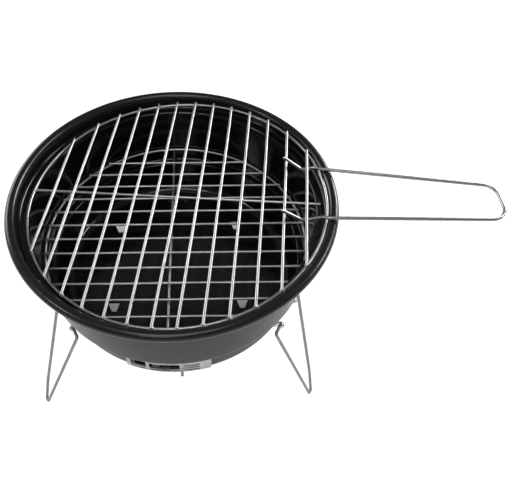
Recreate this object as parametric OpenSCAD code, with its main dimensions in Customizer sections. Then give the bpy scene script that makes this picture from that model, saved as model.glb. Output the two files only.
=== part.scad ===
// Portable tabletop charcoal grill: enamelled bowl on three folding wire legs,
// with a charcoal grate, a cooking grate and a loose wire lifting handle.
// Frame: millimetres, +Z up, origin at the centre of the heat shield's flat underside,
// +X towards the lifting handle, -Y (front) towards the air vent.

/* [Bowl] */
// Outside diameter over the rolled rim
rim_d = 260; // [259:1:264]
// Diameter of the rolled rim bead
bead_d = 8; // [7.5:0.5:8.5]
// Depth from the middle of the rim bead to the inner floor
bowl_depth = 100; // [96:1:112]
// Thickness of the enamelled steel sheet
sheet_t = 0.8; // [0.7:0.05:0.9]
// Outside diameter of the upper wall
wall_d = 230; // [229:0.5:230.5]
// Depth of the cooking grate's step below the middle of the rim bead
step_depth = 9.6; // [9.6:0.2:11]
// Depth of the wall's shoulder below the middle of the rim bead
shoulder_depth = 67; // [66:0.5:69]
// Outside diameter of the lower wall, below the shoulder
lower_d = 214.4; // [214:0.2:215]
// Radius of the corner between the lower wall and the floor
floor_corner_r = 10; // [9:0.5:10.5]

/* [Cooking grate] */
// Centreline diameter of the cooking grate's ring
grate_ring_d = 236; // [235:0.5:236.5]
// Diameter of the grate wires
wire_d = 2.2; // [2:0.1:2.6]
// Number of parallel bars
grate_bars = 13; // [9:2:13]
// Distance between neighbouring bars
grate_pitch = 16.88; // [15:0.01:17]
// Turn of the bars about the vertical, in degrees
grate_turn = -8.2; // [-12:0.1:-5]
// Rise of the handle side of the grate, in degrees
grate_tilt = 2.4; // [2:0.1:2.4]
// Shift of the grate towards the handle
grate_shift = 2.8; // [1:0.1:2.8]
// Shift of the grate towards the air vent
grate_side = 0.9; // [0:0.1:1.2]
// Depth of the grate ring's centre below the middle of the rim bead
grate_drop = 3.5; // [3.3:0.1:3.5]

/* [Charcoal grate] */
// Centreline diameter of the charcoal grate's ring
coal_ring_d = 224.6; // [223.6:0.2:225]
// Depth of the charcoal grate's ring below the middle of the rim bead
coal_depth = 53; // [50:0.5:57]
// Radius of the pressed dimples that hold the charcoal grate
dimple_r = 6; // [5.6:0.1:6.4]
// Number of parallel bars
coal_bars = 13; // [9:2:13]
// Distance between neighbouring bars
coal_pitch = 15.65; // [14:0.05:15.8]
// Turn of the bars about the vertical, in degrees
coal_turn = -1.2; // [-5:0.1:5]

/* [Lifting handle] */
// Wire diameter of the handle
handle_wire_d = 2.8; // [2.4:0.1:2.8]
// Distance from the bowl's axis to the handle's far end
handle_reach = 253; // [230:1:280]
// Height of the hook tips above the middle of the rim bead
hook_height = 9.5; // [8.5:0.5:12]

/* [Legs] */
// Wire diameter of the legs
leg_wire_d = 3; // [2.6:0.1:3]
// Distance from the bowl's axis to the leg hinge
hinge_r = 110.5; // [110.5:0.5:111.5]
// Height of the leg hinge above the heat shield's underside
hinge_z = 12; // [11.5:0.1:12.5]
// Height of the leg hinge above the foot wire's centre
leg_drop = 126.4; // [112:0.2:128]
// Distance from the bowl's axis to the left foot
foot_r_left = 160.9; // [150:0.1:162]
// Distance from the bowl's axis to the right foot
foot_r_right = 152.2; // [150:0.1:162]
// Distance from the bowl's axis to the rear foot
foot_r_rear = 156; // [150:0.5:162]
// Distance between the two ears of a leg bracket
ear_span = 28; // [27:0.5:29]
// Radial clearance of the leg wire in its bracket
hinge_clear = 0.06; // [0.03:0.01:0.09]

/* [Heat shield] */
// Diameter of the heat shield
shield_d = 158; // [152:1:160]
// Thickness of the heat shield
shield_t = 0.8; // [0.6:0.1:1]
// Air gap between the heat shield and the bowl
shield_gap = 2.7; // [2.5:0.1:3]
// Distance between the tabs, left to right
tab_span_x = 114; // [100:1:116]
// Distance between the tabs, front to back
tab_span_y = 91.2; // [84:0.2:92]

/* [Air vent] */
// Direction of the middle of the damper, in degrees
vent_az = -94; // [-100:1:-88]
// Arc that the damper covers, in degrees
damper_arc = 37; // [36:0.5:40]
// Height of the damper strip
damper_h = 20.5; // [20:0.1:20.8]

/* [Hidden] */
$fn = 96;

floor_under = shield_t + shield_gap;
floor_top = floor_under + sheet_t;
rim_z = floor_top + bowl_depth;
wall_r = wall_d / 2;
lower_r = lower_d / 2;
bead_centre_r = rim_d / 2 - bead_d / 2;
weld = 0.1;  // overlap of welded wires

// Indices into the per-leg tables
LEFT = 0;
RIGHT = 1;
REAR = 2;
leg_az = [-151.3, -30.5, 90];

// ---- shared helpers ---------------------------------------------------------
function unit(v) = v / norm(v);

// Points of an arc in the radius-height plane
function arc_points(x, z, radius, from, to, steps) = [
    for (i = [0:steps])
        let (angle = from + (to - from) * i / steps)
        [x + radius * cos(angle), z + radius * sin(angle)]];

// Normal of a line of points at point i
function normal(line, i) =
    let (along = unit(line[min(i + 1, len(line) - 1)] - line[max(i - 1, 0)]))
    [-along[1], along[0]];

// Outline of a sheet that follows a centreline
function sheet_outline(line, thickness) = concat(
    [for (i = [0:len(line) - 1]) line[i] + normal(line, i) * thickness / 2],
    [for (i = [len(line) - 1:-1:0]) line[i] - normal(line, i) * thickness / 2]);

// Straight round wire between two points
module rod(start, end, dia) {
    v = end - start;
    length = norm(v);
    translate(start) rotate([0, acos(v[2] / length), atan2(v[1], v[0])])
        cylinder(h = length, d = dia, $fn = 32);
}

// Round wire along a list of points, with a slightly larger ball at each point
module wire(points, dia) {
    union() {
        for (i = [0:len(points) - 2]) rod(points[i], points[i + 1], dia);
        for (point = points) translate(point) sphere(d = dia * 1.03, $fn = 32);
    }
}

// Part of a ring of rectangular section between two directions
module arc_bar(r0, r1, z0, z1, from, to) {
    rotate([0, 0, from]) rotate_extrude(angle = to - from)
        translate([r0, z0]) square([r1 - r0, z1 - z0]);
}

// Upright cylinder that starts at height z
module pin(z, dia, height, facets = 48) {
    translate([0, 0, z]) cylinder(d = dia, h = height, $fn = facets);
}

// Box centred in X and Y that starts at height z
module box(z, size) {
    translate([-size[0] / 2, -size[1] / 2, z]) cube(size);
}

// Stands a 2D radius-height shape upright, as a plate centred at mid_y
module upright(mid_y, thickness) {
    translate([0, mid_y + thickness / 2, 0]) rotate([90, 0, 0])
        linear_extrude(thickness) children();
}

// ---- sizes shared by the bowl and the parts fixed to it ---------------------
tab_w = 10;
tab_t = 0.8;
tab_slot = [tab_w + 0.6, 1.2];

rivet_r = 87;         // bracket rivets' distance from the bowl's axis
rivet_half_span = 8;
rivet_hole_d = 3.3;

damper_inner_r = lower_r + 0.35;
damper_t = 0.8;
damper_z = floor_under + 7.3;
vent_rivet_z = damper_z + damper_h - 3;
vent_rivet_az = [-9, 9];  // from vent_az

module tab_place() {
    for (sx = [-1, 1])
        for (sy = [-1, 1])
            translate([sx * tab_span_x / 2, sy * tab_span_y / 2, 0]) children();
}

module bracket_rivet_place(leg) {
    rotate([0, 0, leg_az[leg]])
        for (s = [-1, 1]) translate([rivet_r, s * rivet_half_span, 0]) children();
}

// Local Z points outwards from the bowl's axis
module vent_rivet_place() {
    for (az = vent_rivet_az)
        rotate([0, 0, vent_az + az]) translate([0, 0, vent_rivet_z]) rotate([0, 90, 0])
            children();
}

// ---- bowl -------------------------------------------------------------------
// Centreline of the sheet
curl_r = bead_d / 2 - sheet_t / 2;
lip_r = bead_centre_r - curl_r;
step_z = rim_z - step_depth - sheet_t / 2;
shoulder_z = rim_z - shoulder_depth;
wall_mid_r = wall_r - sheet_t / 2;
lower_mid_r = lower_r - sheet_t / 2;
floor_z = floor_under + sheet_t / 2;

// Centre of the corner between the lower wall and the floor
corner_x = lower_mid_r - floor_corner_r;
corner_z = floor_z + floor_corner_r;

lip_bend = 2.5;
edge_bend = 1.6;
shoulder_bend = 3;
bowl_line = concat(
    arc_points(bead_centre_r, rim_z, curl_r, -125, 180, 28),
    arc_points(lip_r - lip_bend, step_z + lip_bend, lip_bend, 0, -90, 6),
    arc_points(wall_mid_r + edge_bend, step_z - edge_bend, edge_bend, 90, 180, 6),
    arc_points(wall_mid_r - shoulder_bend, shoulder_z + shoulder_bend, shoulder_bend, 0, -90, 6),
    arc_points(lower_mid_r + edge_bend, shoulder_z - edge_bend, edge_bend, 90, 180, 6),
    arc_points(corner_x, corner_z, floor_corner_r, 0, -90, 12),
    [[0, floor_z]]);

vent_starts = [-15, -3.5, 5.5];  // from vent_az
vent_arc = 8;
vent_z0 = floor_under + 13;
vent_z1 = vent_rivet_z - 2.8;

coal_ring_z = rim_z - coal_depth;
coal_r = coal_ring_d / 2;
dimple_az = [343, 55, 125, 205];
dimple_centre_r = wall_r + 3;
// The dimple's centre is below the ring by the height that lets the ring rest on it
dimple_contact = dimple_r + wire_d / 2 + 0.02;
dimple_z = coal_ring_z - sqrt(pow(dimple_contact, 2) - pow(dimple_centre_r - coal_r, 2));
dimple_box = 10;    // half size of the box that trims a dimple
dimple_inset = 0.4; // depth of the trimmed side inside the wall's outer face

// Closed half-section: the sheet's outline, trimmed on the axis
module bowl_section() {
    intersection() {
        polygon(sheet_outline(bowl_line, sheet_t));
        translate([0, floor_under - 5]) square([rim_d, bowl_depth + 30]);
    }
}

module dimple_ball(radius) {
    translate([dimple_centre_r, 0, dimple_z]) sphere(r = radius, $fn = 64);
}

module bowl() {
    color("#161616") difference() {
        union() {
            rotate_extrude($fn = 180) bowl_section();
            for (az = dimple_az) rotate([0, 0, az]) intersection() {
                dimple_ball(dimple_r);
                translate([wall_r - dimple_box, -dimple_box, dimple_z - dimple_box])
                    cube([dimple_box - dimple_inset, 2 * dimple_box, 2 * dimple_box]);
            }
        }
        for (az = dimple_az) rotate([0, 0, az]) dimple_ball(dimple_r - sheet_t);
        // slots for the heat shield's tabs
        tab_place() box(floor_under - 1, [tab_slot[0], tab_slot[1], sheet_t + 2]);
        // rivet holes of the leg brackets
        for (leg = [LEFT, RIGHT, REAR])
            bracket_rivet_place(leg) pin(floor_under - 1, rivet_hole_d, sheet_t + 2, 32);
        // air openings and the damper's rivet holes, low in the front wall
        for (start = vent_starts)
            arc_bar(lower_r - 3, lower_r + 2, vent_z0, vent_z1,
                vent_az + start, vent_az + start + vent_arc);
        vent_rivet_place() pin(lower_r - 3, 2.5, 6, 32);
    }
}

// ---- heat shield ------------------------------------------------------------
tab_neck_w = 4.4;
tab_tip_length = 7;
tab_bend = 38;
tab_root_z = shield_t / 2;

module heat_shield() {
    color("silver") union() {
        cylinder(d = shield_d, h = shield_t, $fn = 120);
        tab_place() {
            // wide foot under the bowl, then a narrow neck through its floor
            box(tab_root_z, [tab_w, tab_t, floor_under - 0.6 - tab_root_z]);
            box(tab_root_z, [tab_neck_w, tab_t, floor_top + 1.4 - tab_root_z]);
            // the bent end of the tab, wider towards its tip
            translate([0, -tab_t / 2, floor_top + 1]) rotate([tab_bend, 0, 0])
                linear_extrude(tab_t) polygon([
                    [-tab_neck_w / 2, 0], [tab_neck_w / 2, 0],
                    [tab_w / 2, tab_tip_length], [-tab_w / 2, tab_tip_length]]);
        }
    }
}

// ---- leg brackets -----------------------------------------------------------
bracket_t = 1.2;
ear_y = ear_span / 2;
ear_hub_r = 3.2;
strap_inner_r = 80.5;
// The strap follows the bowl's floor and corner, just clear of the sheet
strap_bend = floor_corner_r + sheet_t / 2 + 0.05 + bracket_t / 2;
strap_line = concat(
    [[strap_inner_r, corner_z - strap_bend]],
    arc_points(corner_x, corner_z, strap_bend, -90, -34, 8));
// Arm from the strap to the hub: radius, height
ear_arm = [
    [corner_x + 3.2, corner_z - 11.3], [corner_x + 9.2, corner_z - 9],
    [hinge_r + 1.6, hinge_z - 2.77], [hinge_r - 2.77, hinge_z + 1.6],
    [corner_x + 9.2, corner_z - 5], [corner_x + 4.5, corner_z - 9.9]];

module leg_bracket(leg) {
    difference() {
        rotate([0, 0, leg_az[leg]]) difference() {
            union() {
                upright(0, ear_span) polygon(sheet_outline(strap_line, bracket_t));
                for (s = [-1, 1]) upright(s * ear_y, bracket_t) {
                    polygon(ear_arm);
                    translate([hinge_r, hinge_z]) circle(r = ear_hub_r, $fn = 64);
                }
            }
            for (s = [-1, 1]) translate([hinge_r, s * ear_y + 2, hinge_z]) rotate([90, 0, 0])
                cylinder(r = leg_wire_d / 2 + hinge_clear, h = 4, $fn = 64);
        }
        bracket_rivet_place(leg)
            pin(floor_under - bracket_t - 1, rivet_hole_d, bracket_t + 2, 32);
    }
}
module leg_bracket_left() { color("silver") leg_bracket(LEFT); }
module leg_bracket_right() { color("silver") leg_bracket(RIGHT); }
module leg_bracket_rear() { color("silver") leg_bracket(REAR); }

// Shank, lower head and upper head
module bracket_rivets(leg) {
    strap_under = floor_under - bracket_t;
    bracket_rivet_place(leg) {
        pin(strap_under - 0.5, 3.2, bracket_t + sheet_t + 1, 32);
        pin(strap_under - 1.1, 6, 1);
        pin(floor_top + 0.02, 5.6, 0.9);
    }
}
module bracket_rivets_left() { color("gainsboro") bracket_rivets(LEFT); }
module bracket_rivets_right() { color("gainsboro") bracket_rivets(RIGHT); }
module bracket_rivets_rear() { color("gainsboro") bracket_rivets(REAR); }

// ---- air vent ---------------------------------------------------------------
damper_outer_r = damper_inner_r + damper_t;
// Damper windows, left to right: start and end from vent_az, bottom and top from damper_z
damper_windows = [
    [-16.4, -9.6, 1.6, 13.5],
    [-8.2, 5, 1.4, 3.2],
    [-8.2, 5, 4.4, 12.4],
    [6.4, 13.6, 2, 3.7],
    [6.4, 13.6, 5.6, 7.3],
    [6.4, 13.6, 9.2, 10.9]];
guide_half_h = 1.35;
guide_half_arc = 6.6;
// Side view of the damper's tab: outwards from its face, height above damper_z
damper_tab_outline = [
    [0, 7], [0, 0.6], [1.8, -3.4], [2.6, -3.1], [0.8, 0.8], [0.8, 7]];
damper_tab_az = 5.8;
damper_tab_w = 2.4;

// Inner head, shank and outer head
module vent_rivets() {
    wall_inner_r = lower_r - sheet_t;
    color("gainsboro") vent_rivet_place() {
        pin(wall_inner_r - 0.9, 4.6, 0.8);
        pin(wall_inner_r - 0.5, 2.4, damper_t + sheet_t + 1.4, 32);
        pin(damper_outer_r + 0.35, 5, 0.9);
    }
}

module damper_hole(from, to, z0, z1) {
    arc_bar(damper_inner_r - 2, damper_inner_r + 4, z0, z1, vent_az + from, vent_az + to);
}

module vent_damper() {
    color("silver") difference() {
        arc_bar(damper_inner_r, damper_outer_r, damper_z, damper_z + damper_h,
            vent_az - damper_arc / 2, vent_az + damper_arc / 2);
        for (w = damper_windows) damper_hole(w[0], w[1], damper_z + w[2], damper_z + w[3]);
        // guide slots round the rivets
        for (az = vent_rivet_az)
            damper_hole(az - guide_half_arc, az + guide_half_arc,
                vent_rivet_z - guide_half_h, vent_rivet_z + guide_half_h);
    }
}

module damper_tab() {
    color("silver") rotate([0, 0, vent_az + damper_tab_az])
        translate([damper_outer_r + 0.02, 0, damper_z])
            upright(0, damper_tab_w) polygon(damper_tab_outline);
}

// ---- legs -------------------------------------------------------------------
foot_bend = 2.6;
kink_up = 25;     // distance of the kinks from the foot, along the leg
kink_extra = 2.4; // outward bow of the kink on one side of each leg
hinge_end_y = ear_y - 2.1;
// Per leg: half widths at the hinge on its two sides, the bowed side, the foot's distance
leg_half_w = [[20, 24.5], [24.5, 23], [23.5, 23.5]];
leg_bowed = [0, 1, 1];
foot_r = [foot_r_left, foot_r_right, foot_r_rear];

module leg_wire(leg) {
    run = foot_r[leg] - hinge_r;
    lean = atan2(run, leg_drop);
    length = norm([run, leg_drop]);
    taper = (kink_up - foot_bend) / (length - foot_bend);
    rotate([0, 0, leg_az[leg]]) translate([hinge_r, 0, hinge_z]) rotate([0, -lean, 0]) union() {
        for (i = [0, 1]) {
            s = 2 * i - 1;
            half_w = leg_half_w[leg][i];
            bow = i == leg_bowed[leg] ? kink_extra : 0;
            kink_y = foot_bend + (half_w - foot_bend) * taper + bow;
            wire([
                [0, s * hinge_end_y, 0],
                [0, s * half_w, 0],
                [0, s * kink_y, -length + kink_up],
                [0, s * foot_bend, -length + foot_bend]], leg_wire_d);
        }
        // rounded foot
        translate([0, 0, -length + foot_bend]) rotate([0, 90, 0]) rotate([0, 0, -90])
            rotate_extrude(angle = 180, $fn = 64)
                translate([foot_bend, 0]) circle(d = leg_wire_d, $fn = 32);
    }
}
module leg_left() { color("lightgray") leg_wire(LEFT); }
module leg_right() { color("lightgray") leg_wire(RIGHT); }
module leg_rear() { color("lightgray") leg_wire(REAR); }

// ---- grates -----------------------------------------------------------------
bar_rise = wire_d - weld;  // height of the bars above their ring
grate_r = grate_ring_d / 2;
// Shift of each row of bars across its ring
grate_row_shift = 1;
coal_row_shift = -3.2;

// Half length of a bar welded inside a ring
function inner_half(ring_r) = ring_r - wire_d / 2 + weld;

module wire_ring(dia) {
    rotate_extrude($fn = 160) translate([dia / 2, 0]) circle(d = wire_d, $fn = 32);
}

module bar_along_y(x, half) {
    translate([x, half, 0]) rotate([90, 0, 0]) cylinder(d = wire_d, h = 2 * half, $fn = 32);
}

// Parallel bars along Y that lie on a ring, spaced in X
module bar_row(count, pitch, ring_r, overhang, shift) {
    for (i = [0:count - 1]) {
        x = (i - (count - 1) / 2) * pitch + shift;
        bar_along_y(x, sqrt(ring_r * ring_r - x * x) + overhang);
    }
}

module coal_place() {
    translate([0, 0, coal_ring_z]) rotate([0, 0, coal_turn]) children();
}
module charcoal_grate_ring() {
    color("gainsboro") coal_place() wire_ring(coal_ring_d);
}
module charcoal_grate_bars() {
    color("gainsboro") coal_place() translate([0, 0, bar_rise]) rotate([0, 0, 90])
        bar_row(coal_bars, coal_pitch, coal_r, overhang = 0.8, shift = coal_row_shift);
}
module charcoal_grate_cross_bar() {
    color("gainsboro") coal_place() bar_along_y(x = -4, half = inner_half(coal_r));
}

module grate_place() {
    translate([grate_shift, -grate_side, rim_z - grate_drop])
        rotate([0, -grate_tilt, 0]) rotate([0, 0, grate_turn]) children();
}
module cooking_grate_ring() {
    color("whitesmoke") grate_place() wire_ring(grate_ring_d);
}
module cooking_grate_bars() {
    color("whitesmoke") grate_place() translate([0, 0, bar_rise])
        bar_row(grate_bars, grate_pitch, grate_r, overhang = 1, shift = grate_row_shift);
}
// Stops short of the ring on the handle side
module cooking_grate_cross_bar() {
    half = inner_half(grate_r);
    color("whitesmoke") grate_place() translate([-half, 1.2, 0]) rotate([0, 90, 0])
        cylinder(d = wire_d, h = 2 * half - 4, $fn = 32);
}

// ---- lifting handle ---------------------------------------------------------
handle_wire_r = handle_wire_d / 2;
over_bead_z = rim_z + bead_d / 2 + handle_wire_r + 0.06;

// X of grate bar i at a given y; bar 0 is the outermost on the handle side
function bar_x(i, y) =
    let (across = ((grate_bars - 1) / 2 - i) * grate_pitch + grate_row_shift)
    grate_shift + (across - (y + grate_side) * sin(grate_turn)) / cos(grate_turn);
function ring_x(y) = grate_shift + sqrt(grate_r * grate_r - pow(y + grate_side, 2));
function bead_x(y) = sqrt(bead_centre_r * bead_centre_r - y * y);

// Height of the grate ring's plane at x, and of handle wire under a bar or over the ring
function grate_z(x) = rim_z - grate_drop + (x - grate_shift) * sin(grate_tilt);
function under_bar_z(x) = grate_z(x) + bar_rise - wire_d / 2 - handle_wire_r - 0.15;
function over_ring_z(x) = grate_z(x) + wire_d / 2 + handle_wire_r + 0.3;

// One hooked end: tip over the next bar, valley under the outer bar, over ring and bead
function hook(y_tip, y_bar, y_ring, y_bead) =
    let (outer_x = bar_x(0, y_bar), valley_z = under_bar_z(outer_x - 4))
    [
        [bar_x(1, y_tip) - 2.6, y_tip, rim_z + hook_height],
        [outer_x - 4.4, y_bar, valley_z],
        [outer_x + 2.6, y_bar, valley_z],
        [ring_x(y_ring) - 3.4, y_ring, over_ring_z(ring_x(y_ring))],
        [bead_x(y_bead) - 4, y_bead, over_bead_z]];
rear_hook = hook(28.4, 24.2, 21.6, 18.2);
front_hook = hook(-28.5, -29.8, -31.4, -33.8);

// The far end is a flat, lopsided loop with two rounded corners
rear_end = [handle_reach - 1.2, -5.5, over_bead_z];
front_end = [handle_reach - 2.4, -40.2, over_bead_z];
rear_bend = 10;
front_bend = 13;

// Where a rounded corner at apex begins, on the side towards before
function corner_start(before, apex, after, radius) =
    let (u = unit(before - apex), v = unit(after - apex))
    apex + u * radius / tan(acos(u * v) / 2);

// Rounded wire corner in the horizontal plane
module corner(before, apex, after, radius) {
    u = unit(before - apex);
    v = unit(after - apex);
    half = acos(u * v) / 2;
    centre = apex + unit(u + v) * radius / sin(half);
    spoke = corner_start(after, apex, before, radius) - centre;
    translate(centre) rotate([0, 0, atan2(spoke[1], spoke[0])])
        rotate_extrude(angle = 180 - 2 * half, $fn = 96)
            translate([radius, 0]) circle(d = handle_wire_d, $fn = 32);
}

// Short swelling of the wire where a corner begins
module collar(before, apex, after, radius) {
    start = corner_start(before, apex, after, radius);
    along = unit(apex - before);
    rod(start - along, start + along, handle_wire_d * 1.06);
}

// One hook and its long rod, up to the rounded corner at near_end
module handle_side(hook_points, near_end, far_end, radius) {
    root = hook_points[4];
    wire(hook_points, handle_wire_d);
    // short swelling where the long rod leaves the bend over the bead
    rod(root, root + 3 * unit(near_end - root), handle_wire_d * 1.05);
    rod(root, corner_start(root, near_end, far_end, radius), handle_wire_d);
    collar(root, near_end, far_end, radius);
    collar(far_end, near_end, root, radius);
}

module lifting_handle() {
    color("lightgray") union() {
        handle_side(rear_hook, rear_end, front_end, rear_bend);
        handle_side(front_hook, front_end, rear_end, front_bend);
        rod(corner_start(front_end, rear_end, rear_hook[4], rear_bend),
            corner_start(rear_end, front_end, front_hook[4], front_bend), handle_wire_d);
        corner(rear_hook[4], rear_end, front_end, rear_bend);
        corner(rear_end, front_end, front_hook[4], front_bend);
    }
}

bowl();
heat_shield();
leg_bracket_left();
leg_bracket_right();
leg_bracket_rear();
bracket_rivets_left();
bracket_rivets_right();
bracket_rivets_rear();
vent_rivets();
vent_damper();
damper_tab();
leg_left();
leg_right();
leg_rear();
charcoal_grate_ring();
charcoal_grate_bars();
charcoal_grate_cross_bar();
cooking_grate_ring();
cooking_grate_bars();
cooking_grate_cross_bar();
lifting_handle();
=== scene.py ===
"""Small round charcoal grill: an enamelled bowl on three bent wire legs, with a charcoal grate,
a tilted cooking grate and a wire lifting handle.

The bowl's axis is +Z. The vent faces the front (-Y), the handle reaches right (+X) and one leg
is at the rear (+Y). Geometry is worked out in mm and stored in metres; azimuths are degrees
from +X, counted anticlockwise from above. Shader and stage sizes are in metres.
"""
import bpy
import math
import random
from mathutils import Vector, Matrix


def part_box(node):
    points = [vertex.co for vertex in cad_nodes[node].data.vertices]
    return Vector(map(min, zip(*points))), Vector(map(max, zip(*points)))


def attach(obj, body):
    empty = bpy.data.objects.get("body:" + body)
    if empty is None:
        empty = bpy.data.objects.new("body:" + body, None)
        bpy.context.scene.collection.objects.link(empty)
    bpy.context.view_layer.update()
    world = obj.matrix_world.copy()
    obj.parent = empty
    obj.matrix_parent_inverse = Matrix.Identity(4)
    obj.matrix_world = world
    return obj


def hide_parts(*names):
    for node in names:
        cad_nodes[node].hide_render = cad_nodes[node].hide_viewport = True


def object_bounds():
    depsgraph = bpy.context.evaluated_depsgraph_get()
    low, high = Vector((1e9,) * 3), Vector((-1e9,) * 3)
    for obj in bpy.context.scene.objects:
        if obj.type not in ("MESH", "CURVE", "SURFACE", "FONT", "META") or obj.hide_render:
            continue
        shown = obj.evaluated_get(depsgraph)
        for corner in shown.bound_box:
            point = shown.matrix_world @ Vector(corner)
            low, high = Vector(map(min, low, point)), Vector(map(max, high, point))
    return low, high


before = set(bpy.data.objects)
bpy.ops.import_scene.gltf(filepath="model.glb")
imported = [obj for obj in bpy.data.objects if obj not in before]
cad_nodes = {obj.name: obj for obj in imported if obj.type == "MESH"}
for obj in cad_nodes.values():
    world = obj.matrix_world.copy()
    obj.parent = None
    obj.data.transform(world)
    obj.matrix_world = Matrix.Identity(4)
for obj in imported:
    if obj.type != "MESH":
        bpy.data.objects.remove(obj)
box0 = [list(c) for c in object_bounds()]
random.seed(7)  # shared generator; the wires and welds below draw from their own
scene = bpy.context.scene

# ---------------------------------------------------------------- driving sizes (mm)
MM = 0.001
SHEET = 0.8
HALF_SHEET = SHEET / 2

# Bowl; its profile follows the middle of the sheet
BEAD_R = 126.0                  # axis to the centre of the rolled rim bead
CURL_R = 3.6
BEAD_TOP = CURL_R + HALF_SHEET  # bead centre to its outer skin
RIM_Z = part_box("bowl")[1].z / MM - BEAD_TOP
WALL_R = 115
WALL_MID = WALL_R - HALF_SHEET
LOWER_R = 107.2
LOWER_MID = LOWER_R - HALF_SHEET
STEP_Z = RIM_Z - 9.6
SHOULDER_Z = RIM_Z - 67
CORNER_R = 10.0
FLOOR_UNDER = 3.5

# Vent, its damper and their rivets
VENT_AZIMUTH = -94.0
DAMPER_BOTTOM = FLOOR_UNDER + 7.3
DAMPER_HEIGHT = 20.5
VENT_RIVET_Z = DAMPER_BOTTOM + DAMPER_HEIGHT - 3
VENT_BOTTOM = FLOOR_UNDER + 13
VENT_TOP = VENT_RIVET_Z - 2.8

# Both grates
WIRE = 2.2
BAR_COUNT = 13
MIDDLE_BAR = BAR_COUNT // 2
BAR_RISE = WIRE - 0.1           # bars sit on the ring, sunk slightly into it

# Cooking grate: bars run along its own Y
COOK_R = 118.0
COOK_PITCH = 16.88
COOK_OFFSET = 1.0
COOK_SHIFT_X = 2.8
COOK_SHIFT_Y = -0.9
COOK_DROP = 3.5
COOK_TILT = math.radians(2.4)
COOK_TURN = math.radians(-8.2)

# Charcoal grate: bars run along its own X
COAL_R = 112.3
COAL_PITCH = 15.65
COAL_OFFSET = -3.2
COAL_TURN = math.radians(-1.2)
COAL_Z = RIM_Z - 53

# Legs
HINGE_R = 110.5
HINGE_Z = 12.0
LEG_DROP = 126.4                # hinge to foot, straight down
# azimuth, foot radius, half widths at the hinge (minus side, plus side), side with wider knee
LEGS = {
    "left": (-151.3, 160.9, (20.0, 24.5), 0),
    "right": (-30.5, 152.2, (24.5, 23.0), 1),
    "rear": (90.0, 156.0, (23.5, 23.5), 1),
}


# ---------------------------------------------------------------- shader helpers
class Shader:
    """A Principled material, with short methods that add nodes and return their outputs."""

    def __init__(self, name):
        self.material = bpy.data.materials.new(name)
        self.material.use_nodes = True
        self.tree = self.material.node_tree
        self.coords = self.node("ShaderNodeTexCoord").outputs["Object"]

    def node(self, kind, **settings):
        node = self.tree.nodes.new(kind)
        for key, value in settings.items():
            setattr(node, key, value)
        return node

    def feed(self, socket, value):
        """Link an output, or set a number or an RGB colour."""
        if isinstance(value, bpy.types.NodeSocket):
            self.tree.links.new(value, socket)
        elif isinstance(value, tuple):
            socket.default_value = (*value, 1)
        else:
            socket.default_value = value

    def noise(self, scale, detail, rough, stretch=None):
        node = self.node("ShaderNodeTexNoise")
        node.inputs["Scale"].default_value = scale
        node.inputs["Detail"].default_value = detail
        node.inputs["Roughness"].default_value = rough
        source = self.coords
        if stretch:
            mapping = self.node("ShaderNodeMapping")
            mapping.inputs["Scale"].default_value = stretch
            self.feed(mapping.inputs["Vector"], source)
            source = mapping.outputs["Vector"]
        self.feed(node.inputs["Vector"], source)
        return node.outputs["Fac"]

    def voronoi(self, scale, output="Distance"):
        node = self.node("ShaderNodeTexVoronoi")
        node.inputs["Scale"].default_value = scale
        self.feed(node.inputs["Vector"], self.coords)
        return node.outputs[output]

    def ramp(self, source, start, end, falling=False):
        """Grey ramp from 0 to 1 between two positions, or from 1 to 0 when falling."""
        node = self.node("ShaderNodeValToRGB")
        greys = (1.0, 0.0) if falling else (0.0, 1.0)
        for element, position, grey in zip(node.color_ramp.elements, (start, end), greys):
            element.position = position
            element.color = (grey, grey, grey, 1)
        self.feed(node.inputs["Fac"], source)
        return node.outputs["Color"]

    def mix(self, factor, first, second):
        node = self.node("ShaderNodeMix", data_type="RGBA")
        # sockets 0, 6 and 7 are the factor and the two colours
        for index, value in ((0, factor), (6, first), (7, second)):
            self.feed(node.inputs[index], value)
        return node.outputs[2]

    def math(self, operation, first, second):
        node = self.node("ShaderNodeMath", operation=operation)
        self.feed(node.inputs[0], first)
        self.feed(node.inputs[1], second)
        return node.outputs[0]

    def add(self, first, second):
        return self.math("ADD", first, second)

    def multiply(self, first, second):
        return self.math("MULTIPLY", first, second)

    def map_range(self, source, span, to):
        node = self.node("ShaderNodeMapRange")
        for index, value in enumerate((*span, *to), start=1):
            node.inputs[index].default_value = value
        self.feed(node.inputs[0], source)
        return node.outputs[0]

    def bump(self, height, distance, strength, under=None):
        """Bump normal, laid over the normal `under` where one is given."""
        node = self.node("ShaderNodeBump")
        node.inputs["Distance"].default_value = distance
        node.inputs["Strength"].default_value = strength
        self.feed(node.inputs["Height"], height)
        if under is not None:
            self.feed(node.inputs["Normal"], under)
        return node.outputs["Normal"]

    def finish(self, **inputs):
        """Feed the Principled inputs and return the material."""
        principled = self.tree.nodes["Principled BSDF"]
        for key, value in inputs.items():
            self.feed(principled.inputs[key.replace("_", " ")], value)
        return self.material


def shade(colour, factor):
    return tuple(c * factor for c in colour)


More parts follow.
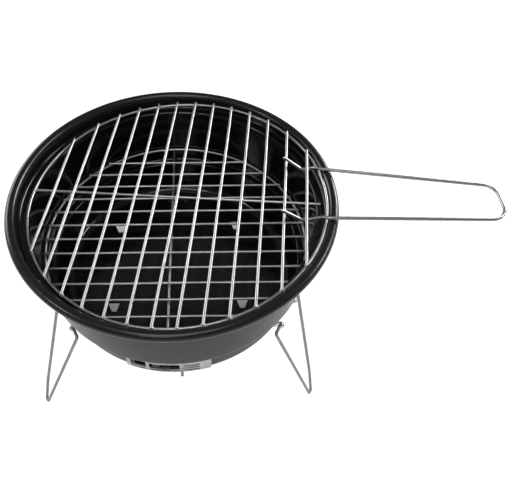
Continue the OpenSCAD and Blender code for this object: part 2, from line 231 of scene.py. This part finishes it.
# ---------------------------------------------------------------- materials
def enamel():
    """Glossy black enamel: orange peel, slow waviness, pinholes, satin wear on the rim."""
    s = Shader("black_enamel")
    position = s.node("ShaderNodeSeparateXYZ")
    s.feed(position.inputs[0], s.coords)
    rim = s.map_range(position.outputs["Z"], span=((RIM_Z - 6) * MM, (RIM_Z + 1) * MM), to=(0, 1))
    peel = s.noise(scale=620, detail=2, rough=0.5)
    wave = s.noise(scale=42, detail=2, rough=0.4)
    cloud = s.noise(scale=28, detail=4, rough=0.6)
    pinholes = s.ramp(s.voronoi(scale=210), start=0.0, end=0.05, falling=True)
    specks = s.ramp(s.noise(scale=1500, detail=2, rough=0.6), start=0.68, end=0.78)

    black, warm_black = (0.0035, 0.0037, 0.004), (0.007, 0.0069, 0.0066)
    speck_grey, worn_black = (0.035, 0.035, 0.035), (0.012, 0.0118, 0.0115)
    base = s.mix(s.ramp(cloud, start=0.35, end=0.75), black, warm_black)
    base = s.mix(s.multiply(specks, 0.3), base, speck_grey)
    base = s.mix(s.multiply(rim, 0.5), base, worn_black)
    rough = s.add(s.map_range(cloud, span=(0.3, 0.75), to=(0.07, 0.16)), s.multiply(rim, 0.14))
    normal = s.bump(wave, distance=0.0009, strength=0.35)
    normal = s.bump(peel, distance=0.00022, strength=0.32, under=normal)
    normal = s.bump(s.multiply(pinholes, -1.0), distance=0.0002, strength=0.5, under=normal)
    return s.finish(Base_Color=base, Roughness=rough, IOR=1.5, Normal=normal)


def wire_metal(name, tint, rough, dark, spots=0.35):
    """Plated wire: cloudy plating (down to `dark` times the tint), draw marks, dull spots."""
    s = Shader(name)
    cloud = s.noise(scale=190, detail=4, rough=0.6)
    fine = s.noise(scale=1800, detail=3, rough=0.6)
    marks = s.noise(scale=900, detail=2, rough=0.5, stretch=(1, 1, 0.2))
    base = s.mix(s.ramp(cloud, start=0.35, end=0.7), tint, shade(tint, dark))
    pits = s.ramp(s.voronoi(scale=700), start=0.0, end=0.12, falling=True)
    base = s.mix(s.multiply(pits, spots), base, shade(tint, 0.35))
    rough = s.add(s.map_range(cloud, span=(0.3, 0.7), to=rough), s.multiply(fine, 0.08))
    normal = s.bump(fine, distance=0.00012, strength=0.35)
    normal = s.bump(marks, distance=0.00010, strength=0.3, under=normal)
    return s.finish(Base_Color=base, Metallic=1.0, Roughness=rough, Normal=normal)


def zinc_sheet(name, dull, bright, rough=(0.22, 0.42)):
    """Zinc-coated sheet: spangle crystals, soft stains and handling scratches."""
    s = Shader(name)
    spangle = s.node("ShaderNodeSeparateColor")
    s.feed(spangle.inputs[0], s.voronoi(scale=150, output="Color"))
    stain = s.noise(scale=45, detail=4, rough=0.6)
    scratches = s.noise(scale=240, detail=4, rough=0.7, stretch=(0.08, 1, 1))
    scratches = s.ramp(scratches, start=0.60, end=0.66)
    base = s.mix(spangle.outputs[0], dull, bright)
    stained = s.multiply(s.ramp(stain, start=0.5, end=0.8), 0.45)
    base = s.mix(stained, base, shade(dull, 0.55))
    rough = s.map_range(spangle.outputs[1], span=(0, 1), to=rough)
    rough = s.add(rough, s.multiply(scratches, 0.12))
    normal = s.bump(spangle.outputs[2], distance=0.00006, strength=0.5)
    grain = s.noise(scale=1400, detail=2, rough=0.5)
    normal = s.bump(grain, distance=0.00006, strength=0.4, under=normal)
    return s.finish(Base_Color=base, Metallic=1.0, Roughness=rough, Normal=normal)


ENAMEL = enamel()
PLATED_WIRE = wire_metal(
    "plated_wire", tint=(0.60, 0.60, 0.59), rough=(0.22, 0.36), dark=0.86, spots=0.10)
CHARCOAL_WIRE = wire_metal(
    "charcoal_wire", tint=(0.60, 0.62, 0.61), rough=(0.24, 0.40), dark=0.84, spots=0.12)
LEG_WIRE = wire_metal(
    "leg_wire", tint=(0.42, 0.41, 0.385), rough=(0.30, 0.46), dark=0.80, spots=0.45)
HANDLE_WIRE = wire_metal(
    "handle_wire", tint=(0.50, 0.475, 0.44), rough=(0.22, 0.36), dark=0.84, spots=0.15)
ZINC = zinc_sheet("galvanised", dull=(0.60, 0.62, 0.64), bright=(0.80, 0.82, 0.84))
DAMPER_ZINC = zinc_sheet("strip_zinc", dull=(0.44, 0.45, 0.45), bright=(0.60, 0.61, 0.61))
TAB_ZINC = zinc_sheet("dull_zinc", dull=(0.26, 0.26, 0.26), bright=(0.46, 0.46, 0.455))
RIVET_STEEL = wire_metal("rivet_steel", tint=(0.74, 0.74, 0.73), rough=(0.2, 0.4), dark=0.75)
BLACK_RIVET = wire_metal(
    "blackened_rivet", tint=(0.07, 0.07, 0.068), rough=(0.34, 0.5), dark=0.75)
SHIELD_ZINC = zinc_sheet(
    "bright_zinc", dull=(0.84, 0.85, 0.86), bright=(0.96, 0.97, 0.98), rough=(0.44, 0.6))
WELD_METAL = wire_metal(
    "weld_metal", tint=(0.62, 0.62, 0.60), rough=(0.34, 0.55), dark=0.6, spots=0.6)


# ---------------------------------------------------------------- mesh helpers
# A shape is a pair (vertices in mm, faces).
def add_mesh(name, shape, material, body, replaces=None):
    verts, faces = shape
    mesh = bpy.data.meshes.new(name)
    mesh.from_pydata([tuple(c * MM for c in v) for v in verts], [], faces)
    mesh.validate()
    mesh.polygons.foreach_set("use_smooth", [True] * len(mesh.polygons))
    mesh.materials.append(material)
    mesh.update()
    obj = bpy.data.objects.new(name, mesh)
    scene.collection.objects.link(obj)
    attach(obj, body)
    if replaces:
        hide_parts(replaces)
    return obj


def join(shapes):
    verts, faces = [], []
    for part_verts, part_faces in shapes:
        base = len(verts)
        verts += part_verts
        faces += [tuple(i + base for i in face) for face in part_faces]
    return verts, faces


def fillet(points, radii, steps):
    """Round the inner corners of a polyline; radii holds one value per point."""
    points = [Vector(p) for p in points]
    out = [points[0]]
    for i in range(1, len(points) - 1):
        corner = points[i]
        back, ahead = points[i - 1] - corner, points[i + 1] - corner
        back_len, ahead_len = back.length, ahead.length
        back.normalize()
        ahead.normalize()
        half = math.acos(max(-1, min(1, back.dot(ahead)))) / 2
        if radii[i] <= 0 or half > math.pi / 2 - 1e-3:
            out.append(corner)
            continue
        # the arc may use up to 0.48 of either side
        setback = min(radii[i] / math.tan(half), back_len * 0.48, ahead_len * 0.48)
        radius = setback * math.tan(half)
        centre = corner + (back + ahead).normalized() * (radius / math.sin(half))
        start = corner + back * setback - centre
        end = corner + ahead * setback - centre
        sweep = start.angle(end)
        for k in range(steps + 1):
            t = k / steps
            spoke = start * math.sin((1 - t) * sweep) + end * math.sin(t * sweep)
            out.append(centre + spoke / math.sin(sweep))
    out.append(points[-1])
    return out


def resample(points, step):
    """Split every segment into equal pieces no longer than step."""
    points = [Vector(p) for p in points]
    out = [points[0]]
    for a, b in zip(points, points[1:]):
        count = max(1, int(math.ceil((b - a).length / step)))
        out += [a.lerp(b, i / count) for i in range(1, count + 1)]
    return out


def square_to(axis, steep=0.9):
    """A unit vector square to the axis, upward unless the axis is nearly upright."""
    ref = Vector((0, 0, 1)) if abs(axis.z) < steep else Vector((1, 0, 0))
    return (ref - axis * ref.dot(axis)).normalized()


def tube(points, radius, sides, closed=False):
    """Round wire swept along the points; an open wire gets rounded ends."""
    points = [Vector(p) for p in points]
    count = len(points)
    tangents = []
    for i in range(count):
        before = points[(i - 1) % count] if closed or i > 0 else points[i]
        after = points[(i + 1) % count] if closed or i < count - 1 else points[i]
        tangents.append((after - before).normalized())
    across = square_to(tangents[0])
    rings, verts, faces = [], [], []

    def ring(centre, tangent, ring_r):
        other = tangent.cross(across)
        rings.append(len(verts))
        for k in range(sides):
            a = 2 * math.pi * k / sides
            spoke = across * math.cos(a) + other * math.sin(a)
            verts.append(tuple(centre + spoke * ring_r))

    def cap_ring(centre, tangent, sign, a):
        offset = tangent * (radius * 0.55 * math.sin(a))
        ring(centre + offset * sign, tangent, radius * math.cos(a) ** 0.6)

    if not closed:
        for k in range(1, 5):
            cap_ring(points[0], tangents[0], -1, math.pi / 2 * (1 - k / 5))
    for point, tangent in zip(points, tangents):
        across = (across - tangent * across.dot(tangent)).normalized()
        ring(point, tangent, radius)
    if not closed:
        for k in range(1, 5):
            cap_ring(points[-1], tangents[-1], 1, math.pi / 2 * k / 5)

    ring_count = len(rings)
    for i in range(ring_count if closed else ring_count - 1):
        a, b = rings[i], rings[(i + 1) % ring_count]
        shift = 0
        if closed and i == ring_count - 1:
            # join the seam where the two rings lie closest
            first = Vector(verts[a])
            shift = min(range(sides), key=lambda s: (first - Vector(verts[b + s])).length)
        for k in range(sides):
            k2 = (k + 1) % sides
            faces.append((a + k, a + k2, b + (k2 + shift) % sides, b + (k + shift) % sides))
    if not closed:
        faces.append(tuple(rings[0] + k for k in reversed(range(sides))))
        faces.append(tuple(rings[-1] + k for k in range(sides)))
    return verts, faces


def blob(centre, axis, half_length, half_width, half_height, sides=14, rings=8):
    """Small ellipsoid with its long axis along axis."""
    long = Vector(axis).normalized()
    side = Vector((0, 0, 1)).cross(long).normalized()
    up = long.cross(side)
    centre = Vector(centre)
    verts, faces = [], []
    for i in range(1, rings):
        phi = math.pi * i / rings
        for k in range(sides):
            theta = 2 * math.pi * k / sides
            verts.append(tuple(
                centre + long * (half_length * math.cos(phi))
                + side * (half_width * math.sin(phi) * math.cos(theta))
                + up * (half_height * math.sin(phi) * math.sin(theta))))
    start = len(verts)
    end = start + 1
    verts += [tuple(centre + long * half_length), tuple(centre - long * half_length)]
    for i in range(rings - 2):
        a, b = i * sides, (i + 1) * sides
        for k in range(sides):
            k2 = (k + 1) % sides
            faces.append((a + k, b + k, b + k2, a + k2))
    last = (rings - 2) * sides
    for k in range(sides):
        k2 = (k + 1) % sides
        faces += [(start, k, k2), (end, last + k2, last + k)]
    return verts, faces


def lathe(profile, origin, axis, sides=28):
    """Spin (radius, height) points about an axis and close both ends."""
    axis = Vector(axis).normalized()
    across = square_to(axis)
    other = axis.cross(across)
    origin = Vector(origin)
    verts, faces = [], []
    for r, height in profile:
        for k in range(sides):
            a = 2 * math.pi * k / sides
            spoke = across * math.cos(a) + other * math.sin(a)
            verts.append(tuple(origin + axis * height + spoke * max(r, 1e-4)))
    for i in range(len(profile) - 1):
        a, b = i * sides, (i + 1) * sides
        for k in range(sides):
            k2 = (k + 1) % sides
            faces.append((a + k, a + k2, b + k2, b + k))
    faces.append(tuple(reversed(range(sides))))
    faces.append(tuple((len(profile) - 1) * sides + k for k in range(sides)))
    return verts, faces


# ---------------------------------------------------------------- bowl
BOWL_SEGMENTS = 720
LIP_BEND = 2.5                          # bend from the lip into the step
SMALL_BEND = 1.6                        # outward bends at the top of each wall
SHOULDER_BEND = 3
WALL_ROW = 0.9                          # row spacing of the upper wall, fine for the dimples
LOWER_ROWS = (33, 31, 29, 27, VENT_TOP, 23, 21, 19, VENT_BOTTOM, 15)
FLOOR_RADII = (94, 91, 88, 84, 80, 75, 70, 64, 58, 52, 46, 40, 34, 28, 22, 16, 11, 7, 4, 2)
WINDOW_STARTS = (-15, -3.5, 5.5)        # degrees from the vent azimuth
WINDOW_WIDTH = 8                        # degrees
DIMPLE_AZIMUTHS = (343, 55, 125, 205)
DIMPLE_R = 6
DIMPLE_BACK = 3                         # sphere centre, outside the wall
DIMPLE_BLEND = 0.12                     # softens the dimple's foot
# the charcoal ring rests on the dimples with 0.02 of clearance
DIMPLE_Z = COAL_Z - math.sqrt(
    (DIMPLE_R + WIRE / 2 + 0.02) ** 2 - (WALL_R + DIMPLE_BACK - COAL_R) ** 2)


def arc(cx, cz, r, start, end, steps):
    angles = [math.radians(start + (end - start) * i / steps) for i in range(steps + 1)]
    return [(cx + r * math.cos(a), cz + r * math.sin(a)) for a in angles]


def bowl_profile():
    """(radius, z) points from the curled rim down to the floor."""
    step_mid = STEP_Z - HALF_SHEET
    floor_mid = FLOOR_UNDER + HALF_SHEET
    points = arc(BEAD_R, RIM_Z, CURL_R, -125, 180, 44)
    points += arc(BEAD_R - CURL_R - LIP_BEND, step_mid + LIP_BEND, LIP_BEND, 0, -90, 9)
    points += arc(WALL_MID + SMALL_BEND, step_mid - SMALL_BEND, SMALL_BEND, 90, 180, 8)
    z = STEP_Z - 3.0
    while z > SHOULDER_Z + 4:
        points.append((WALL_MID, z))
        z -= WALL_ROW
    points += arc(WALL_MID - SHOULDER_BEND, SHOULDER_Z + SHOULDER_BEND, SHOULDER_BEND, 0, -90, 9)
    points += arc(LOWER_MID + SMALL_BEND, SHOULDER_Z - SMALL_BEND, SMALL_BEND, 90, 180, 8)
    points += [(LOWER_MID, z) for z in LOWER_ROWS]
    points += arc(LOWER_MID - CORNER_R, floor_mid + CORNER_R, CORNER_R, 0, -90, 16)
    points += [(r, floor_mid) for r in FLOOR_RADII]
    return points


def dimple_depth(r, z, azimuth):
    """How far the upper wall is pressed inward at a point."""
    for dimple in DIMPLE_AZIMUTHS:
        turn = (azimuth - dimple + 180) % 360 - 180
        distance = math.hypot(math.radians(turn) * r, z - DIMPLE_Z)
        if distance < DIMPLE_R:
            depth = math.sqrt(DIMPLE_R ** 2 - distance ** 2) - DIMPLE_BACK
            return 0.5 * (depth + math.sqrt(depth * depth + DIMPLE_BLEND))
    return 0


def in_vent_band(point, below):
    """Whether the row between two profile points crosses the vent windows."""
    on_wall = all(abs(p[0] - LOWER_MID) < 1e-6 for p in (point, below))
    return on_wall and point[1] <= VENT_TOP + 1e-6 and below[1] >= VENT_BOTTOM - 1e-6


def build_bowl():
    profile = bowl_profile()
    count = BOWL_SEGMENTS
    step = 360 / count
    verts, faces = [], []
    for r, z in profile:
        on_wall = abs(r - WALL_MID) < 0.01
        for k in range(count):
            azimuth = k * step - 180
            a = math.radians(azimuth)
            pressed = r - dimple_depth(r, z, azimuth) if on_wall else r
            verts.append((pressed * math.cos(a), pressed * math.sin(a), z))
    starts = [VENT_AZIMUTH + s for s in WINDOW_STARTS]
    for i in range(len(profile) - 1):
        vent_row = in_vent_band(profile[i], profile[i + 1])
        a, b = i * count, (i + 1) * count
        for k in range(count):
            middle = k * step - 180 + step / 2
            if vent_row and any(s < middle < s + WINDOW_WIDTH for s in starts):
                continue
            k2 = (k + 1) % count
            faces.append((a + k, b + k, b + k2, a + k2))
    centre = len(verts)
    verts.append((0, 0, FLOOR_UNDER + HALF_SHEET))
    last = centre - count
    faces += [(last + k, centre, last + (k + 1) % count) for k in range(count)]

    bowl = add_mesh("bowl_shell", (verts, faces), ENAMEL, "bowl_body")
    solidify = bowl.modifiers.new("sheet", "SOLIDIFY")
    solidify.thickness = SHEET * MM
    solidify.offset = 0
    solidify.use_even_offset = True
    solidify.use_rim = True
    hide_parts("bowl")


build_bowl()


# ---------------------------------------------------------------- grates
COOK_CROSS_Y = 1.2
COAL_CROSS_X = -4
CROSS_GAP = 0.3         # cross wire end to the ring's inner side
CROSS_SHORT = 4.6       # the same at the cooking grate's +X end
CROSS_BOW = 0.1
WELD_INSET = 1.6        # cross wire welds, inward of the ring's centre line


def turned(point, angle):
    x, y, z = point
    c, s = math.cos(angle), math.sin(angle)
    return x * c - y * s, x * s + y * c, z


def place_cooking(point):
    """From the cooking grate's own plane to the bowl's frame; the handle side is raised."""
    x, y, z = turned(point, COOK_TURN)
    c, s = math.cos(COOK_TILT), math.sin(COOK_TILT)
    return x * c - z * s + COOK_SHIFT_X, y + COOK_SHIFT_Y, x * s + z * c + RIM_Z - COOK_DROP


def place_charcoal(point):
    x, y, z = turned(point, COAL_TURN)
    return x, y, z + COAL_Z


def ring_wire(radius, place, steps, sides):
    angles = [2 * math.pi * k / steps for k in range(steps)]
    points = [place((radius * math.cos(a), radius * math.sin(a), 0)) for a in angles]
    return tube(points, WIRE / 2, sides, closed=True)


def cut_bar(start, end, place, bow, seed):
    """Cut wire with a slight random bow."""
    rnd = random.Random(seed)
    a, b = Vector(start), Vector(end)
    steps = max(8, int((b - a).length / 6))
    phase = rnd.uniform(0, 6.28)
    bow *= rnd.uniform(0.4, 1)
    side = (b - a).normalized().cross(Vector((0, 0, 1)))
    points = []
    for i in range(steps + 1):
        t = i / steps
        sway = bow * math.sin(math.pi * t) * math.sin(2.2 * math.pi * t + phase)
        points.append(place(a.lerp(b, t) + side * sway))
    return tube(points, WIRE / 2 * 0.99, 18)


def weld_blobs(welds, place):
    """One blob per (centre, axis) pair."""
    blobs = []
    for i, (spot, axis) in enumerate(welds):
        rnd = random.Random(100 + i)
        centre = Vector(place(spot))
        ahead = Vector(place(tuple(Vector(spot) + Vector(axis) * 2)))
        blobs.append(blob(centre, ahead - centre,
                          half_length=1.55 * rnd.uniform(0.9, 1.1),
                          half_width=1.5 * rnd.uniform(0.9, 1.1),
                          half_height=0.62 * rnd.uniform(0.9, 1.2)))
    return join(blobs)


def add_grate(key, material, ring, bars, cross, welds):
    body = key + "_grate"
    add_mesh(key + "_ring_wire", ring, material, body, body + "_ring")
    add_mesh(key + "_bar_wires", join(bars), material, body, body + "_bars")
    add_mesh(key + "_cross_wire", cross, material, body, body + "_cross_bar")
    add_mesh(body + "_welds", welds, WELD_METAL, body)


def build_cooking_grate():
    place = place_cooking
    bars, welds = [], []
    for i in range(BAR_COUNT):
        x = (i - MIDDLE_BAR) * COOK_PITCH + COOK_OFFSET
        half = math.sqrt(COOK_R * COOK_R - x * x)
        reach = half + 0.6
        bars.append(cut_bar((x, -reach, BAR_RISE), (x, reach, BAR_RISE), place, bow=0.22, seed=i))
        for s in (-1, 1):
            welds.append(((x, s * half, BAR_RISE / 2), (-half / COOK_R, x / COOK_R * s, 0)))
        welds.append(((x, COOK_CROSS_Y, BAR_RISE / 2), (1, 0, 0)))
    welds.append(((-COOK_R + WELD_INSET, COOK_CROSS_Y, 0), (1, 0, 0)))
    inside = COOK_R - WIRE / 2
    cross = cut_bar((-inside + CROSS_GAP, COOK_CROSS_Y, 0),
                    (inside - CROSS_SHORT, COOK_CROSS_Y, 0), place, CROSS_BOW, seed=77)
    ring = ring_wire(COOK_R, place, steps=320, sides=20)
    add_grate("cooking", PLATED_WIRE, ring, bars, cross, weld_blobs(welds, place))


def build_charcoal_grate():
    place = place_charcoal
    bars, welds = [], []
    for i in range(BAR_COUNT):
        y = (i - MIDDLE_BAR) * COAL_PITCH + COAL_OFFSET
        half = math.sqrt(COAL_R * COAL_R - y * y)
        reach = half + 0.4
        bars.append(
            cut_bar((-reach, y, BAR_RISE), (reach, y, BAR_RISE), place, bow=0.2, seed=200 + i))
        for s in (-1, 1):
            welds.append(((s * half, y, BAR_RISE / 2), (-y / COAL_R, half / COAL_R, 0)))
        welds.append(((COAL_CROSS_X, y, BAR_RISE / 2), (0, 1, 0)))
    for s in (-1, 1):
        welds.append(((COAL_CROSS_X, s * (COAL_R - WELD_INSET), 0), (0, 1, 0)))
    end = COAL_R - WIRE / 2 - CROSS_GAP
    cross = cut_bar((COAL_CROSS_X, -end, 0), (COAL_CROSS_X, end, 0), place, CROSS_BOW, seed=300)
    ring = ring_wire(COAL_R, place, steps=300, sides=18)
    add_grate("charcoal", CHARCOAL_WIRE, ring, bars, cross,
              weld_blobs(welds, place))


build_cooking_grate()
build_charcoal_grate()

# ---------------------------------------------------------------- lifting handle
HANDLE_WIRE_R = 1.4
OVER_BEAD_Z = RIM_Z + BEAD_TOP + HANDLE_WIRE_R + 0.06
HANDLE_REACH = 253.0


def bar_x(i, y):
    """X of the cooking bar that is i places in from the +X end, at a given y."""
    across = (MIDDLE_BAR - i) * COOK_PITCH + COOK_OFFSET
    skew = (y - COOK_SHIFT_Y) * math.sin(COOK_TURN)
    return COOK_SHIFT_X + (across - skew) / math.cos(COOK_TURN)


def cooking_z(x):
    return RIM_Z - COOK_DROP + (x - COOK_SHIFT_X) * math.sin(COOK_TILT)


def hook(tip_y, bar_y, ring_y, bead_y):
    """Wire from its free tip, under the last bar and over the ring to the rim bead."""
    last_x = bar_x(0, bar_y)
    under_z = cooking_z(last_x - 4) + BAR_RISE - WIRE / 2 - HANDLE_WIRE_R - 0.15
    ring_x = COOK_SHIFT_X + math.sqrt(COOK_R * COOK_R - (ring_y - COOK_SHIFT_Y) ** 2)
    bead_x = math.sqrt(BEAD_R ** 2 - bead_y * bead_y)
    return [
        (bar_x(1, tip_y) - 2.6, tip_y, RIM_Z + 9.5),
        (last_x - 4.4, bar_y, under_z),
        (last_x + 2.6, bar_y, under_z),
        (ring_x - 3.4, ring_y, cooking_z(ring_x) + WIRE / 2 + HANDLE_WIRE_R + 0.3),
        (bead_x - 4, bead_y, OVER_BEAD_Z),
    ]


def build_handle():
    rear = hook(tip_y=28.4, bar_y=24.2, ring_y=21.6, bead_y=18.2)
    front = hook(tip_y=-28.5, bar_y=-29.8, ring_y=-31.4, bead_y=-33.8)
    grip = [(HANDLE_REACH - 1.2, -5.5, OVER_BEAD_Z), (HANDLE_REACH - 2.4, -40.2, OVER_BEAD_Z)]
    bends = [0, 3.5, 3.5, 3.5, 6, 10, 13, 6, 3.5, 3.5, 3.5, 0]
    path = resample(fillet(rear + grip + front[::-1], bends, steps=10), 3.0)
    shape = tube(path, HANDLE_WIRE_R * 0.95, 20)
    add_mesh("handle_wire", shape, HANDLE_WIRE, "handle", "lifting_handle")


build_handle()

# ---------------------------------------------------------------- legs
LEG_WIRE_R = 1.4
TOE_R = 2.6
KNEE_HEIGHT = 25.0      # above the foot, along the leg
KNEE_SPREAD = 2.4       # extra width of the wider knee
HINGE_END = 11.9        # half gap between the wire's two ends
HINGE_BEND = 1.9
KNEE_BEND = 10


def build_leg(key):
    """Bent wire drawn in the leg's own plane: y along the hinge, z up the leg from the hinge."""
    azimuth, foot_r, half_widths, wide_side = LEGS[key]
    turn = math.radians(azimuth)
    lean = math.atan2(foot_r - HINGE_R, LEG_DROP)
    length = math.hypot(foot_r - HINGE_R, LEG_DROP)

    def place(point):
        x, y, z = point
        out = HINGE_R + x * math.cos(lean) - z * math.sin(lean)
        height = HINGE_Z + x * math.sin(lean) + z * math.cos(lean)
        return (*turned((out, y, 0), turn)[:2], height)

    sides = []
    for i, (s, width) in enumerate(zip((-1, 1), half_widths)):
        knee = TOE_R + (width - TOE_R) * (KNEE_HEIGHT - TOE_R) / (length - TOE_R)
        if i == wide_side:
            knee += KNEE_SPREAD
        sides.append([(0, s * HINGE_END, 0), (0, s * width, 0),
                      (0, s * knee, -length + KNEE_HEIGHT), (0, s * TOE_R, -length + TOE_R)])
    toe = []
    for degrees in range(12, 180, 12):
        a = math.radians(degrees)
        toe.append((0, TOE_R * math.cos(a), -length + TOE_R - TOE_R * math.sin(a)))
    bends = [0, HINGE_BEND, KNEE_BEND, 0]
    bends = bends + [0] * len(toe) + bends[::-1]
    path = fillet(sides[1] + toe + sides[0][::-1], bends, steps=8)
    shape = tube(resample([place(p) for p in path], 4), LEG_WIRE_R, 20)
    add_mesh("leg_wire_" + key, shape, LEG_WIRE, key + "_leg", "leg_" + key)


for leg in LEGS:
    build_leg(leg)

# ---------------------------------------------------------------- rivets
BRACKET_SHEET = 1.2
BRACKET_RIVET_R = 87        # bowl axis to the rivet pair
BRACKET_RIVET_HALF = 8      # half the pair's spacing
RIVET_GAP = 0.1
DAMPER_INNER_R = LOWER_R + 0.35
DAMPER_SHEET = 0.8
VENT_RIVET_TURN = 9         # degrees either side of the vent azimuth


def dome(radius, height, edge=0.25):
    """(radius, height) points of a domed head, from its rim to its crown."""
    points = [(radius * 0.96, 0.0), (radius, edge * 0.4), (radius, edge)]
    for i in range(1, 7):
        a = math.pi / 2 * i / 6
        r = radius * math.cos(a) ** 0.8 if i < 6 else 0.02
        points.append((r, edge + (height - edge) * math.sin(a)))
    return points


def rivet(origin, axis, shank_r, length, near, far):
    """Shank from the origin along axis; near and far heads are (radius, height)."""
    profile = [(r, -h) for r, h in reversed(dome(*near))]
    profile += [(shank_r, 0.0), (shank_r, length)]
    profile += [(r, length + h) for r, h in dome(*far)]
    return lathe(profile, origin, axis)


def build_bracket_rivets(key):
    turn = math.radians(LEGS[key][0])
    rivets = []
    for s in (-1, 1):
        origin = turned((BRACKET_RIVET_R, s * BRACKET_RIVET_HALF,
                         FLOOR_UNDER - BRACKET_SHEET - RIVET_GAP), turn)
        rivets.append(rivet(origin, (0, 0, 1), shank_r=1.6, length=BRACKET_SHEET + SHEET + 0.12,
                            near=(3.0, 1.0), far=(2.8, 0.9)))
    add_mesh("bracket_rivet_heads_" + key, join(rivets), BLACK_RIVET, "bowl_body",
             "bracket_rivets_" + key)


def build_vent_rivets():
    start_r = LOWER_R - SHEET - RIVET_GAP
    length = DAMPER_INNER_R + DAMPER_SHEET + 0.35 - start_r
    rivets = []
    for s in (-1, 1):
        a = math.radians(VENT_AZIMUTH + s * VENT_RIVET_TURN)
        axis = Vector((math.cos(a), math.sin(a), 0))
        rivets.append(rivet(axis * start_r + Vector((0, 0, VENT_RIVET_Z)), axis, shank_r=1.2,
                            length=length, near=(2.3, 0.8), far=(2.5, 0.9)))
    add_mesh("vent_rivet_heads", join(rivets), RIVET_STEEL, "bowl_body",
             "vent_rivets")


for leg in LEGS:
    build_bracket_rivets(leg)
build_vent_rivets()

# ---------------------------------------------------------------- CAD sheet parts, shape kept
SHEET_FINISHES = {
    "heat_shield": SHIELD_ZINC,
    "leg_bracket_left": ZINC,
    "leg_bracket_right": ZINC,
    "leg_bracket_rear": ZINC,
    "vent_damper": DAMPER_ZINC,
    "damper_tab": TAB_ZINC,
}
for name, finish in SHEET_FINISHES.items():
    part = cad_nodes[name]
    part.data.materials.clear()
    part.data.materials.append(finish)
    bevel = part.modifiers.new("edge", "BEVEL")
    bevel.width = 0.18 * MM
    bevel.segments = 2
    bevel.limit_method = "ANGLE"
    bevel.angle_limit = math.radians(40)
    bevel.harden_normals = True


# ---------------------------------------------------------------- stage (metres)
def build_floor():
    half = 4.0
    z = box0[0][2] - 0.0001
    mesh = bpy.data.meshes.new("floor")
    corners = [(-half, -half, z), (half, -half, z), (half, half, z), (-half, half, z)]
    mesh.from_pydata(corners, [], [(0, 1, 2, 3)])
    floor = bpy.data.objects.new("floor", mesh)
    scene.collection.objects.link(floor)
    s = Shader("floor_white")
    soft = s.noise(scale=3, detail=2, rough=0.4)
    base = s.mix(soft, (0.30, 0.30, 0.298), (0.34, 0.34, 0.338))
    # glows brighter to the camera than onto the grill
    camera_ray = s.node("ShaderNodeLightPath").outputs["Is Camera Ray"]
    glow = s.map_range(camera_ray, span=(0, 1), to=(0.48, 0.86))
    mesh.materials.append(s.finish(Base_Color=base, Roughness=0.75,
                                   Emission_Color=(1, 1, 0.995), Emission_Strength=glow))


def build_world():
    """Grey surroundings, graded by the Z of the view direction."""
    world = bpy.data.worlds.new("studio")
    scene.world = world
    world.use_nodes = True
    nodes, links = world.node_tree.nodes, world.node_tree.links
    background = nodes["Background"]
    coords = nodes.new("ShaderNodeTexCoord")
    split = nodes.new("ShaderNodeSeparateXYZ")
    ramp = nodes.new("ShaderNodeValToRGB")
    links.new(coords.outputs["Generated"], split.inputs[0])
    links.new(split.outputs["Z"], ramp.inputs["Fac"])
    low, high = ramp.color_ramp.elements
    low.position = 0.0
    low.color = (0.30, 0.30, 0.30, 1)
    high.position = 0.9
    high.color = (0.16, 0.16, 0.165, 1)
    ramp.color_ramp.elements.new(0.35).color = (0.12, 0.12, 0.12, 1)
    links.new(ramp.outputs["Color"], background.inputs["Color"])
    background.inputs["Strength"].default_value = 1.0


# name, location, height aimed at on the bowl's axis, width, depth, watts
LIGHTS = [
    ("left_box", (-0.95, 0.80, 0.50), 0.06, 0.8, 0.5, 7),
    ("right_box", (0.95, 0.75, 0.45), 0.06, 0.5, 0.32, 9),
    ("top_box", (-0.05, -0.42, 1.25), 0.06, 0.7, 0.45, 3.6),
    ("arc_right", (0.90, 0.15, 0.64), 0.10, 0.26, 0.14, 2.2),
    ("arc_left", (-0.85, -0.25, 0.78), 0.10, 0.22, 0.12, 1.4),
    ("front_glint", (-0.18, -0.82, 0.86), 0.02, 0.20, 0.12, 0.8),
]


def add_light(name, location, aim_z, width, depth, watts):
    light = bpy.data.lights.new(name, "AREA")
    light.shape = "RECTANGLE"
    light.size = width
    light.size_y = depth
    light.energy = watts
    obj = bpy.data.objects.new(name, light)
    scene.collection.objects.link(obj)
    obj.location = location
    obj.rotation_mode = "QUATERNION"
    aim = Vector((0, 0, aim_z)) - Vector(location)
    obj.rotation_quaternion = aim.to_track_quat("-Z", "Y")


def build_camera():
    """Looks down from the front, with a slight roll."""
    data = bpy.data.cameras.new("camera")
    camera = bpy.data.objects.new("camera", data)
    scene.collection.objects.link(camera)
    forward = Vector((0.00915, 0.59672, -0.80240)).normalized()
    right = Vector((0.99956, -0.02809, -0.00949))
    right = (right - forward * right.dot(forward)).normalized()
    pose = Matrix((right, right.cross(forward), -forward)).transposed().to_4x4()
    pose.translation = (0.01960, -0.28841, 0.40512)
    camera.matrix_world = pose
    data.sensor_width = 36
    data.lens = 36.73828125
    data.shift_x = 0.101953125
    data.shift_y = 0.0287109375
    data.clip_start = 0.02
    data.clip_end = 20
    scene.camera = camera


build_floor()
build_world()
for row in LIGHTS:
    add_light(*row)
build_camera()
scene.view_settings.view_transform = "Standard"
scene.view_settings.look = "None"
